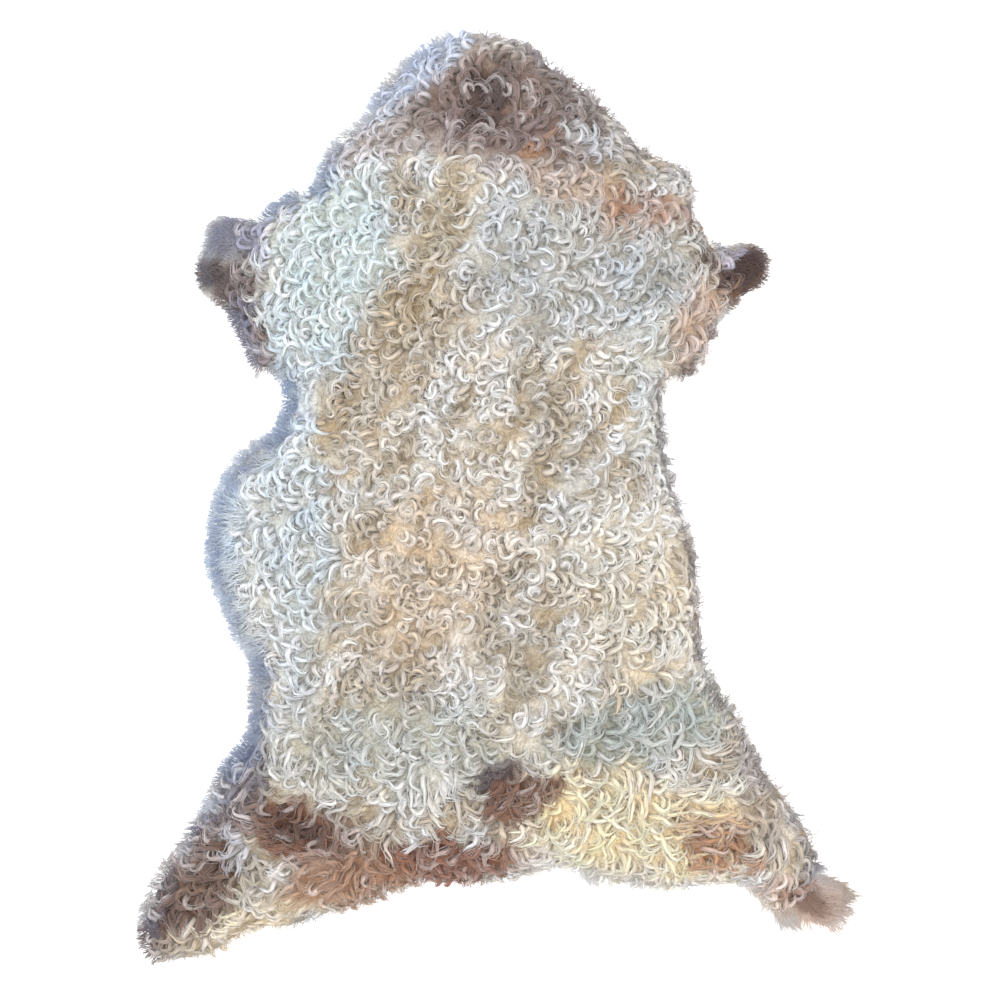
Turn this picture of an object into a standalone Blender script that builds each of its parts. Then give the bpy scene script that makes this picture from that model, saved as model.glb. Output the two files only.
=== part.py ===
"""A curly lambskin laid flat on its hide, fleece up: +Y runs to the neck, +Z is up.

The hide is one cut sheet of leather. The fleece that grows on it is a lumpy slab, low over the
short-haired legs, which rolls down at its rim into separate locks that lie out on the floor.
"""

import math
import random
from collections import namedtuple

import bmesh
import bpy
import numpy as np
from mathutils import Vector, noise

MM = 0.001

# Driving sizes, in metres
HIDE_THICKNESS = 2.2 * MM
LAYER_GAP = 0.3 * MM
FULL_PILE = 37 * MM

# The fleece's surface. Its rim is this share of the pile high and this share of the wool in.
GRID_PITCH = 15.4 * MM
EDGE_SHARE = 0.3
SHOULDER_SHARE = 0.95
SLAB_SHARE_OF_WOOL = 0.65
Lump = namedtuple("Lump", "name size_mm share_of_pile")
LUMPS = (
    Lump("clump of locks", 36, 0.28),
    Lump("lock", 18, 0.12),
)
SHARE_OF_LUMPS_AT_RIM = 0.3

# The locks at the rim, with three sides: a root in the slab, then these points out to the tip
LOCK_PITCH = 14.5 * MM
LOCK_RADIUS = 6.2 * MM
LOCK_ROOT = 9 * MM
LOCK_LEAN = 0.8
LOCK_SPREAD = 0.3
MOST_RADIUS_OF_EDGE = 0.6
MOST_RADIUS_OF_REACH = 0.6
LEAST_WOOL_FOR_LOCKS = 7 * MM
FLOOR_CLEARANCE = 0.1 * MM
SEED = 12
LockPoint = namedtuple("LockPoint", "name reach_share sway_share radius_share on_floor")
LOCK_POINTS = (
    LockPoint("over the rim", 0.15, 0, 1, False),
    LockPoint("down on the floor", 0.7, 0.3, 0.7, True),
    LockPoint("tip", 1, 1, 0.25, True),
)

# The silhouette seen from above, clockwise from the tip of the neck. wool_mm is how far the wool
# hangs out past the hide there. The points are millimetres along X and Y.
Stretch = namedtuple("Stretch", "name wool_mm points_mm")
OUTLINE = (
    Stretch("neck, right side", 18,
            ((-17, 469), (13, 460), (36, 451), (64, 426), (96, 403), (123, 378), (140, 353))),
    Stretch("right shoulder", 15, ((169, 338), (197, 321), (203, 305), (197, 286))),
    Stretch("bare edge at the right shoulder", 1, ((194, 276), (204, 266))),
    Stretch("in front of the right foreleg", 6, ((214, 258), (224, 250))),
    Stretch("right foreleg", 4,
            ((235, 254), (249, 255), (267, 247), (272, 233), (267, 214), (245, 200), (229, 186))),
    Stretch("behind the right foreleg", 12, ((219, 168), (216, 152), (202, 128), (191, 114))),
    Stretch("right armpit", 12, ((171, 116), (166, 97))),
    Stretch("right flank", 16,
            ((168, 66), (173, 31), (186, -12), (197, -44), (203, -81), (204, -124), (206, -159))),
    Stretch("right haunch", 16,
            ((226, -198), (242, -220), (259, -253), (272, -278), (292, -304), (308, -331),
             (321, -360), (322, -378))),
    Stretch("right hind foot", 4,
            ((330, -388), (345, -388), (356, -395), (350, -404), (349, -416), (344, -429),
             (330, -434), (311, -426), (300, -421), (294, -433), (281, -431), (273, -413),
             (263, -391))),
    Stretch("rump, right side", 16,
            ((240, -392), (209, -394), (185, -398), (154, -396), (119, -391), (94, -382),
             (70, -374), (50, -376))),
    Stretch("rump, left side", 14,
            ((19, -385), (-16, -391), (-48, -391), (-76, -388), (-101, -398), (-138, -415),
             (-171, -421), (-204, -433))),
    Stretch("left hind leg", 14,
            ((-246, -438), (-274, -457), (-313, -469), (-347, -464), (-355, -434), (-352, -409),
             (-341, -384), (-323, -356), (-301, -324), (-283, -294), (-268, -266))),
    Stretch("left flank", 16, ((-249, -246), (-244, -209), (-242, -179), (-248, -155))),
    Stretch("left belly", 20,
            ((-261, -146), (-272, -117), (-286, -79), (-290, -49), (-283, -12), (-268, 20),
             (-250, 43))),
    Stretch("left armpit", 14, ((-225, 55), (-214, 78), (-210, 106), (-221, 122))),
    Stretch("behind the left foreleg", 9, ((-241, 124), (-252, 144), (-264, 166), (-273, 188))),
    Stretch("left foreleg", 4,
            ((-295, 200), (-305, 232), (-296, 252), (-293, 275), (-279, 282), (-251, 277),
             (-233, 273))),
    Stretch("left shoulder", 14,
            ((-226, 286), (-197, 307), (-174, 311), (-176, 326), (-165, 344), (-152, 364),
             (-132, 377))),
    Stretch("neck, left side", 16, ((-121, 397), (-101, 422), (-74, 445), (-45, 464))),
)

# Where the pile is lower than the full pile: round spots that fade out towards their reach
Spot = namedtuple("Spot", "name x_mm y_mm reach_mm pile_mm")
LOW_PILE = (
    Spot("left foreleg", -290, 236, 68, 7),
    Spot("right foreleg", 262, 226, 58, 8),
    Spot("right hind foot", 322, -416, 58, 8),
    Spot("left hind leg", -335, -440, 150, 17),
    Spot("neck", 10, 470, 150, 26),
    Spot("behind the left foreleg", -268, 160, 60, 16),
)

# Where the locks part and lie lower, along a line: the trough is width_mm to each side of it
Parting = namedtuple("Parting", "name from_mm to_mm width_mm depth_mm")
PARTINGS = (
    Parting("behind the left shoulder", (-76, 300), (-165, 56), 26, 8),
    Parting("crown of the neck", (-30, 410), (22, 372), 24, 7),
    Parting("spine over the rump", (-14, -256), (40, -312), 26, 9),
    Parting("left hem", (-238, -330), (-150, -334), 24, 8),
    Parting("rump hem", (-140, -372), (0, -366), 20, 6),
    Parting("right haunch", (176, -322), (236, -356), 24, 7),
)

HIDE_COLOUR = (0.62, 0.43, 0.22, 1)
FLEECE_COLOUR = (0.76, 0.67, 0.52, 1)


def clear_scene():
    for thing in list(bpy.data.objects):
        bpy.data.objects.remove(thing)


def new_collection(name):
    made = bpy.data.collections.new(name)
    bpy.context.scene.collection.children.link(made)
    return made


def new_material(name, colour, roughness):
    material = bpy.data.materials.new(name)
    material.use_nodes = True
    shader = material.node_tree.nodes["Principled BSDF"]
    shader.inputs["Base Color"].default_value = colour
    shader.inputs["Roughness"].default_value = roughness
    shader.inputs["Metallic"].default_value = 0
    return material


def mesh_object(name, mesh, collection):
    made = bpy.data.objects.new(name, mesh)
    collection.objects.link(made)
    return made


def make_helper(thing):
    thing.hide_render = True
    thing.display_type = "WIRE"


def mesh_from(curve_object):
    """The curve's evaluated mesh with its caps welded. The curve is removed."""
    graph = bpy.context.evaluated_depsgraph_get()
    mesh = bpy.data.meshes.new_from_object(curve_object.evaluated_get(graph))
    bpy.data.curves.remove(curve_object.data)
    shape = bmesh.new()
    shape.from_mesh(mesh)
    bmesh.ops.remove_doubles(shape, verts=shape.verts, dist=0.01 * MM)
    bmesh.ops.recalc_face_normals(shape, faces=shape.faces)
    shape.to_mesh(mesh)
    shape.free()
    return mesh


def silhouette():
    """A smooth closed line through the outline's points, as (points, the wool's overhang at each)."""
    stations = [(x, y, s.wool_mm) for s in OUTLINE for x, y in s.points_mm]
    curve = bpy.data.curves.new("silhouette", "CURVE")
    curve.dimensions = "3D"
    curve.resolution_u = 3
    spline = curve.splines.new("BEZIER")
    spline.bezier_points.add(len(stations) - 1)
    spline.use_cyclic_u = True
    for point, (x, y, wool) in zip(spline.bezier_points, stations):
        # The overhang rides along as the third coordinate, so that it is smoothed as the line is.
        point.co = (x * MM, y * MM, wool * MM)
        point.handle_left_type = point.handle_right_type = "AUTO"
    line = bpy.data.objects.new("silhouette", curve)
    bpy.context.scene.collection.objects.link(line)
    bpy.context.view_layer.update()
    graph = bpy.context.evaluated_depsgraph_get()
    mesh = bpy.data.meshes.new_from_object(line.evaluated_get(graph))
    found = np.array([vertex.co for vertex in mesh.vertices])
    bpy.data.meshes.remove(mesh)
    bpy.data.curves.remove(curve)
    return found[:, :2], found[:, 2]


def outward(points):
    """The unit normal at each point of a clockwise closed line, pointing away from its inside."""
    along = np.roll(points, -1, axis=0) - np.roll(points, 1, axis=0)
    normals = np.stack([-along[:, 1], along[:, 0]], axis=1)
    return normals / np.linalg.norm(normals, axis=1)[:, None]


def evened(points):
    return (np.roll(points, 1, axis=0) + 2 * points + np.roll(points, -1, axis=0)) / 4


def drawn_in(points, distances):
    return evened(evened(points - outward(points) * distances[:, None]))


def flat_plate(name, points, low, high, collection):
    """A flat closed outline given the thickness from low to high."""
    curve = bpy.data.curves.new(name, "CURVE")
    curve.dimensions = "2D"
    curve.fill_mode = "BOTH"
    curve.extrude = (high - low) / 2
    spline = curve.splines.new("POLY")
    spline.points.add(len(points) - 1)
    spline.use_cyclic_u = True
    for point, (x, y) in zip(spline.points, points):
        point.co = (x, y, 0, 1)
    plate = bpy.data.objects.new(name, curve)
    collection.objects.link(plate)
    bpy.context.view_layer.update()
    mesh = mesh_from(plate)
    for vertex in mesh.vertices:
        vertex.co.z += (low + high) / 2
    return mesh_object(name, mesh, collection)


def depth_inside(places, ring):
    """How far each place is inside a closed line, less than 0 outside it."""
    starts, ends = ring, np.roll(ring, -1, axis=0)
    along = ends - starts
    away = places[:, None, :] - starts[None, :, :]
    share = np.clip((away * along).sum(2) / (along * along).sum(1), 0, 1)
    nearest = np.linalg.norm(away - share[..., None] * along, axis=2).min(axis=1)
    x, y = places[:, :1], places[:, 1:]
    crosses = (starts[:, 1] > y) != (ends[:, 1] > y)
    run = np.where(along[:, 1] == 0, 1, along[:, 1])
    crossing = starts[:, 0] + (y - starts[:, 1]) / run * along[:, 0]
    inside = (crosses & (x < crossing)).sum(axis=1) % 2 == 1
    return np.where(inside, nearest, -nearest)


def distance_from(x, y, parting):
    start, end = np.array(parting.from_mm) * MM, np.array(parting.to_mm) * MM
    along = end - start
    share = min(1, max(0, along.dot((x, y) - start) / along.dot(along)))
    return math.dist((x, y), start + along * share)


def smooth_step(value):
    value = min(1, max(0, value))
    return value * value * (3 - 2 * value)


def pile_at(x, y):
    pile = FULL_PILE
    for spot in LOW_PILE:
        away = math.hypot(x - spot.x_mm * MM, y - spot.y_mm * MM) / (spot.reach_mm * MM)
        pile += (spot.pile_mm * MM - pile) * smooth_step(2 * (1 - away))
    return pile


def trough_at(x, y):
    """The deepest of the partings here."""
    return max(p.depth_mm * smooth_step(1 - distance_from(x, y, p) / (p.width_mm * MM)) * MM
               for p in PARTINGS)


def lump_at(x, y):
    """Locks that clump together and part again, as a share of the pile above or below it."""
    return sum(lump.share_of_pile * noise.noise(Vector((x, y, layer)) / (lump.size_mm * MM))
               for layer, lump in enumerate(LUMPS))


def fleece_top(x, y, depth):
    """The height of the fleece's surface above the hide, at this depth in from its rim."""
    pile = pile_at(x, y)
    share = min(1, max(0, depth / (SHOULDER_SHARE * pile)))
    round_shoulder = math.sqrt(1 - (1 - share) ** 2)
    uneven = pile * lump_at(x, y) - trough_at(x, y)
    uneven *= SHARE_OF_LUMPS_AT_RIM + (1 - SHARE_OF_LUMPS_AT_RIM) * share
    return pile * (EDGE_SHARE + (1 - EDGE_SHARE) * round_shoulder) + uneven


def lumpy_block(ring, base, collection):
    """A block under the fleece's lumpy surface, wider than the ring all round."""
    low, high = ring.min(axis=0) - GRID_PITCH, ring.max(axis=0) + GRID_PITCH
    columns, rows = np.ceil((high - low) / GRID_PITCH).astype(int)
    shape = bmesh.new()
    bmesh.ops.create_grid(shape, x_segments=int(columns), y_segments=int(rows), size=0.5)
    middle, sides = (low + high) / 2, high - low
    places = np.array([v.co[:2] for v in shape.verts]) * sides + middle
    for vertex, place, depth in zip(shape.verts, places, depth_inside(places, ring)):
        vertex.co = (*place, base + fleece_top(*place, depth))
    rim = [edge for edge in shape.edges if edge.is_boundary]
    skirt = bmesh.ops.extrude_edge_only(shape, edges=rim)["geom"]
    for vertex in (item for item in skirt if isinstance(item, bmesh.types.BMVert)):
        vertex.co.z = base
    lower_edges = [e for e in skirt if isinstance(e, bmesh.types.BMEdge) and e.is_boundary]
    bmesh.ops.contextual_create(shape, geom=lower_edges)
    bmesh.ops.recalc_face_normals(shape, faces=shape.faces)
    mesh = bpy.data.meshes.new("fleece")
    shape.to_mesh(mesh)
    shape.free()
    return mesh_object("fleece", mesh, collection)


def spaced_round(points, pitch, chance):
    """(index, share of the way to the next point) at about this pitch round a closed line."""
    steps = np.linalg.norm(np.roll(points, -1, axis=0) - points, axis=1)
    reached = np.concatenate([[0], np.cumsum(steps)])
    for even in np.linspace(pitch, reached[-1], round(reached[-1] / pitch), endpoint=False):
        at = even + chance.uniform(-LOCK_SPREAD, LOCK_SPREAD) * pitch
        index = int(np.searchsorted(reached, at, side="right")) - 1
        yield index, (at - reached[index]) / steps[index]


def three_sided(collection):
    """A profile with its flat side down, of radius 1, that each lock scales to its own radius."""
    curve = bpy.data.curves.new("lock_profile", "CURVE")
    curve.dimensions = "2D"
    spline = curve.splines.new("POLY")
    spline.points.add(2)
    spline.use_cyclic_u = True
    for corner, point in enumerate(spline.points):
        angle = math.radians(90 + corner * 120)
        point.co = (math.cos(angle), math.sin(angle), 0, 1)
    profile = bpy.data.objects.new("lock_profile", curve)
    collection.objects.link(profile)
    make_helper(profile)
    return profile


def lock_path(foot, out, reach, sway, radius):
    """The points of a lock, with the radius at each: from inside the slab, over its rim and down
    to the floor, curling sideways to its tip. Its flat side is half a radius under the path."""
    side = Vector((-out.y, out.x, 0))
    above_hide = HIDE_THICKNESS + 2 * LAYER_GAP
    yield foot - out * LOCK_ROOT + Vector((0, 0, above_hide + radius / 2)), radius
    for point in LOCK_POINTS:
        own_radius = radius * point.radius_share
        base = FLOOR_CLEARANCE if point.on_floor else above_hide
        place = foot + out * reach * point.reach_share + side * sway * point.sway_share
        yield place + Vector((0, 0, base + own_radius / 2)), own_radius


def rim_locks(slab_ring, line, wool, collection):
    """Locks at an even pitch round the fleece's rim, each from the slab out to the silhouette."""
    chance = random.Random(SEED)
    curve = bpy.data.curves.new("rim_locks", "CURVE")
    curve.dimensions = "3D"
    curve.twist_mode = "Z_UP"
    curve.bevel_mode = "OBJECT"
    curve.bevel_object = three_sided(collection)
    curve.use_fill_caps = True
    for index, share in spaced_round(slab_ring, LOCK_PITCH, chance):
        after = (index + 1) % len(slab_ring)
        overhang = wool[index] * (1 - share) + wool[after] * share
        spread, thickness = (1 + chance.uniform(-LOCK_SPREAD, LOCK_SPREAD) for _ in range(2))
        lean = chance.uniform(-LOCK_LEAN, LOCK_LEAN)
        if overhang < LEAST_WOOL_FOR_LOCKS:
            continue
        foot = Vector((*(slab_ring[index] * (1 - share) + slab_ring[after] * share), 0))
        goal = Vector((*(line[index] * (1 - share) + line[after] * share), 0))
        out = (goal - foot).normalized()
        reach = (goal - foot).length * spread
        edge_rise = EDGE_SHARE * pile_at(foot.x, foot.y)
        radius = min(LOCK_RADIUS * thickness, edge_rise * MOST_RADIUS_OF_EDGE,
                     reach * MOST_RADIUS_OF_REACH)
        spline = curve.splines.new("POLY")
        spline.points.add(len(LOCK_POINTS))
        path = lock_path(foot, out, reach, reach * lean, radius)
        for point, (place, point_radius) in zip(spline.points, path):
            point.co = (*place, 1)
            point.radius = point_radius
    locks = bpy.data.objects.new("rim_locks", curve)
    collection.objects.link(locks)
    bpy.context.view_layer.update()
    return mesh_object("rim_locks", mesh_from(locks), collection)


def add_boolean(target, operation, other, crossing_itself=False):
    modifier = target.modifiers.new(operation.lower(), "BOOLEAN")
    modifier.operation = operation
    modifier.solver = "EXACT"
    modifier.use_self = crossing_itself
    modifier.object = other


def apply_modifiers(thing):
    graph = bpy.context.evaluated_depsgraph_get()
    mesh = bpy.data.meshes.new_from_object(thing.evaluated_get(graph))
    thing.modifiers.clear()
    thing.data = mesh


def build_hide(line, wool, collection):
    return flat_plate("hide", drawn_in(line, wool), 0, HIDE_THICKNESS, collection)


def build_fleece(line, wool, collection, helpers):
    """The lumpy slab, whose rim lies between the hide's and the silhouette, with its locks."""
    slab_ring = drawn_in(line, wool * SLAB_SHARE_OF_WOOL)
    base = HIDE_THICKNESS + LAYER_GAP
    fleece = lumpy_block(slab_ring, base, collection)
    prism = flat_plate("fleece_outline", slab_ring, -FULL_PILE, 3 * FULL_PILE, helpers)
    locks = rim_locks(slab_ring, line, wool, helpers)
    for helper in (prism, locks):
        make_helper(helper)
    add_boolean(fleece, "INTERSECT", prism)
    add_boolean(fleece, "UNION", locks, crossing_itself=True)
    return fleece


def centre_on_origin(things):
    """Moves the pieces so that the middle of their joint footprint is at the origin."""
    points = np.array([v.co for thing in things for v in thing.data.vertices])
    middle = (points.min(axis=0) + points.max(axis=0)) / 2
    for thing in things:
        for vertex in thing.data.vertices:
            vertex.co.x -= middle[0]
            vertex.co.y -= middle[1]


def main():
    clear_scene()
    part = new_collection("lambskin")
    helpers = new_collection("helpers")
    line, wool = silhouette()
    hide = build_hide(line, wool, part)
    fleece = build_fleece(line, wool, part, helpers)
    hide.data.materials.append(new_material("tanned hide", HIDE_COLOUR, 0.8))
    fleece.data.materials.append(new_material("curly wool", FLEECE_COLOUR, 0.95))
    bpy.context.view_layer.update()
    apply_modifiers(fleece)
    centre_on_origin([hide, fleece])


main()
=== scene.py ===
# %% [markdown]
# # A curly lambskin on a pale floor
# The skin lies flat with its fleece up, and the camera looks straight down on it. The solids that
# load first give its true outline and the height of its wool. This lesson grows the wool on them:
# a soft bed of underwool, thousands of curled locks, a fine fringe of fuzz round the edge and
# short smooth hair on the legs.

import math
from collections import namedtuple

import bmesh
import bpy
import numpy as np
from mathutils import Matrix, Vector
from mathutils.bvhtree import BVHTree


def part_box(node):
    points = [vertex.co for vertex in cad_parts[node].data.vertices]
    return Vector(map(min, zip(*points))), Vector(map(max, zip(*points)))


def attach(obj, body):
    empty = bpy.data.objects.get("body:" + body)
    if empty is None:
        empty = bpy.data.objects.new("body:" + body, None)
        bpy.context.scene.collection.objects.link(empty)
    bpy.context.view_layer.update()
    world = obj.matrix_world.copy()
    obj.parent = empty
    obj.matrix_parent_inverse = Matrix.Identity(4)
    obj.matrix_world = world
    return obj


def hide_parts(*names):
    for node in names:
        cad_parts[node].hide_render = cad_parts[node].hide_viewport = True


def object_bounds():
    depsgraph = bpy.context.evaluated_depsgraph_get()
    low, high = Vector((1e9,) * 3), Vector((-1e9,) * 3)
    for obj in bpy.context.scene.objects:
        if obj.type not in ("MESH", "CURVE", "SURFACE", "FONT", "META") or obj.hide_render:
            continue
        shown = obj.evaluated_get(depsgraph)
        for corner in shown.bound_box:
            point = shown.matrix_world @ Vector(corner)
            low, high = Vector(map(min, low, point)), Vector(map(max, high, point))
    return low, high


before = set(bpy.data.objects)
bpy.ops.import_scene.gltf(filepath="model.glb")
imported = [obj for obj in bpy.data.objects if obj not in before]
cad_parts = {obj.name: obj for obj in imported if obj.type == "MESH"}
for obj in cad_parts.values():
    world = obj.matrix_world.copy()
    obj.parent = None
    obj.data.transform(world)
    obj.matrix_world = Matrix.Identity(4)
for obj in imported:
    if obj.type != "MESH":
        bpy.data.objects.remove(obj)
cad_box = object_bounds()
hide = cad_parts["hide"]
fleece_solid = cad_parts["fleece"]
print("solids:", sorted(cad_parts), "box:", cad_box)

# %% [markdown]
# The wool has to sit on the solid fleece, so its surface is measured first. A ray dropped at each
# point of a fine grid finds the height there, which gives a height map that any number of hairs
# can look up at once. A Shrinkwrap modifier could do this for a mesh, but not for a hair's path.

# %% A height map of the fleece
MM = 0.001
MAP_STEP = 2.5 * MM
MAP_MARGIN = 40 * MM
SKY = 0.2
WOOL_SOFTENING = 6

map_x = np.arange(cad_box[0][0] - MAP_MARGIN, cad_box[1][0] + MAP_MARGIN, MAP_STEP)
map_y = np.arange(cad_box[0][1] - MAP_MARGIN, cad_box[1][1] + MAP_MARGIN, MAP_STEP)


def heights(node):
    """The top of a solid under each point of the map, and 0 where there is none."""
    tree = BVHTree.FromObject(node, bpy.context.evaluated_depsgraph_get())
    found = np.zeros((len(map_x), len(map_y)))
    down = Vector((0, 0, -1))
    for i, x in enumerate(map_x):
        for j, y in enumerate(map_y):
            hit = tree.ray_cast(Vector((x, y, SKY)), down)[0]
            found[i, j] = hit.z if hit else 0
    return found


def blurred(grid, times):
    """The map softened with its neighbours."""
    for _ in range(times):
        for axis in (0, 1):
            grid = (np.roll(grid, 1, axis) + 2 * grid + np.roll(grid, -1, axis)) / 4
    return grid


fleece_top = heights(fleece_solid)
on_hide = heights(hide) > 0
wool_top = blurred(fleece_top, WOOL_SOFTENING)
over_hide = blurred(on_hide * 1.0, 1)
HIDE_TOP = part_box("hide")[1][2]
print("height map:", fleece_top.shape, "highest wool:", round(fleece_top.max() / MM, 1), "mm")

# %% [markdown]
# Hairs near the edge lie outwards, and the wool thins out there. Both need the distance to the
# edge. The hide is a clean outline, so its rim is read in order, and a march outwards from each
# of its points finds how far the wool hangs out past it.

# %% The hide's rim, and the wool's reach past it
SAME_POINT = 0.001 * MM
FACES_UP = 0.9
STEP_OUT = 4 * MM
MARCH = np.arange(0, 30, 1) * MM
THINNEST_WOOL = 0.5 * MM
REACH_SOFTENING = 4


def rim_of(node):
    """The rim of a flat node's top face, point after point."""
    shape = bmesh.new()
    shape.from_mesh(node.data)
    bmesh.ops.remove_doubles(shape, verts=shape.verts, dist=SAME_POINT)
    shape.verts.index_update()
    rim = {}
    for edge in shape.edges:
        top = [face for face in edge.link_faces if face.normal.z > FACES_UP]
        if len(top) == 1 and len(edge.link_faces) == 2:
            one, other = (vert.index for vert in edge.verts)
            rim.setdefault(one, []).append(other)
            rim.setdefault(other, []).append(one)
    places = {vert.index: tuple(vert.co.xy) for vert in shape.verts}
    shape.free()
    walk = [next(iter(rim))]
    while len(walk) < len(rim):
        ahead = [n for n in rim[walk[-1]] if n not in walk[-2:]]
        walk.append(ahead[0])
    return np.array([places[index] for index in walk])


def looked_up(grid, x, y):
    """The map's value at each place, blended between its four nearest points."""
    u = np.clip((x - map_x[0]) / MAP_STEP, 0, len(map_x) - 1.001)
    v = np.clip((y - map_y[0]) / MAP_STEP, 0, len(map_y) - 1.001)
    i, j = u.astype(int), v.astype(int)
    u, v = u - i, v - j
    near = grid[i, j] * (1 - v) + grid[i, j + 1] * v
    far = grid[i + 1, j] * (1 - v) + grid[i + 1, j + 1] * v
    return near * (1 - u) + far * u


rim = rim_of(hide)
along = np.roll(rim, -1, axis=0) - np.roll(rim, 1, axis=0)
outward = np.stack([along[:, 1], -along[:, 0]], axis=1)
outward /= np.linalg.norm(outward, axis=1)[:, None]
probe = rim + outward * STEP_OUT
if (looked_up(on_hide * 1.0, probe[:, 0], probe[:, 1]) > 0.5).mean() > 0.5:
    outward = -outward

marched = rim[:, None, :] + outward[:, None, :] * MARCH[None, :, None]
woolly = looked_up(fleece_top, marched[..., 0], marched[..., 1]) > THINNEST_WOOL
reach = np.array([MARCH[row].max() if row.any() else 0 for row in woolly])
reach = np.max([np.roll(reach, k) for k in (-2, -1, 0, 1, 2)], axis=0)
for _ in range(REACH_SOFTENING):
    reach = (np.roll(reach, 1) + 2 * reach + np.roll(reach, -1)) / 4
print("rim points:", len(rim), "wool reaches", round(reach.mean() / MM, 1), "mm past the hide")

# %% The distance in from the wool's edge
# The map's places are compared with the rim in batches, to save memory. slope points inwards.
BATCHES = 60
DEPTH_SOFTENING, SLOPE_SOFTENING = 2, 6

places = np.stack(np.meshgrid(map_x, map_y, indexing="ij"), axis=-1).reshape(-1, 2)
nearest = np.concatenate([
    ((chunk[:, None, :] - rim[None]) ** 2).sum(axis=2).argmin(axis=1)
    for chunk in np.array_split(places, BATCHES)
])
away = np.linalg.norm(places - rim[nearest], axis=1).reshape(on_hide.shape)
depth = np.where(on_hide, away, -away) + reach[nearest].reshape(on_hide.shape)
depth = blurred(depth, DEPTH_SOFTENING)
slope = np.gradient(blurred(depth, SLOPE_SOFTENING), MAP_STEP)
print("deepest point is", round(depth.max() / MM), "mm from the edge")

# %% [markdown]
# A fleece is never one colour. Dyeing each hair from a table of soft patches gives the
# large markings, and noise breaks their edges. A few pale blue patches on the left are
# partly painted light: white wool with the cool tint of the window's daylight painted in. A
# painted texture would be the other way, but a table is easy to read and to change, and the
# same table colours the bed and every hair.

# %% Helpers for colour
NOISE_CELLS = 128


def linear(hex_colour):
    """A web colour as the linear red, green and blue that shaders use."""
    channels = [int(hex_colour[i:i + 2], 16) / 255 for i in (1, 3, 5)]
    return np.array([c / 12.92 if c <= 0.04045 else ((c + 0.055) / 1.055) ** 2.4 for c in channels])


def eased(value):
    """A step from 0 to 1 with soft ends."""
    value = np.clip(value, 0, 1)
    return value * value * (3 - 2 * value)


def cloud(x, y, size, seed):
    """Soft noise from -1 to 1, in patches of about this size."""
    table = np.random.default_rng(seed).uniform(-1, 1, (NOISE_CELLS, NOISE_CELLS))
    u, v = x / size + NOISE_CELLS / 2, y / size + NOISE_CELLS / 2
    i, j = np.floor(u).astype(int), np.floor(v).astype(int)
    u, v = eased(u - i), eased(v - j)
    i, j = i % (NOISE_CELLS - 1), j % (NOISE_CELLS - 1)
    near = table[i, j] * (1 - v) + table[i, j + 1] * v
    far = table[i + 1, j] * (1 - v) + table[i + 1, j + 1] * v
    return near * (1 - u) + far * u


def toward(colour, other, share):
    """Each colour moved towards another by its own share."""
    return colour + (other - colour) * share[:, None]


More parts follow.
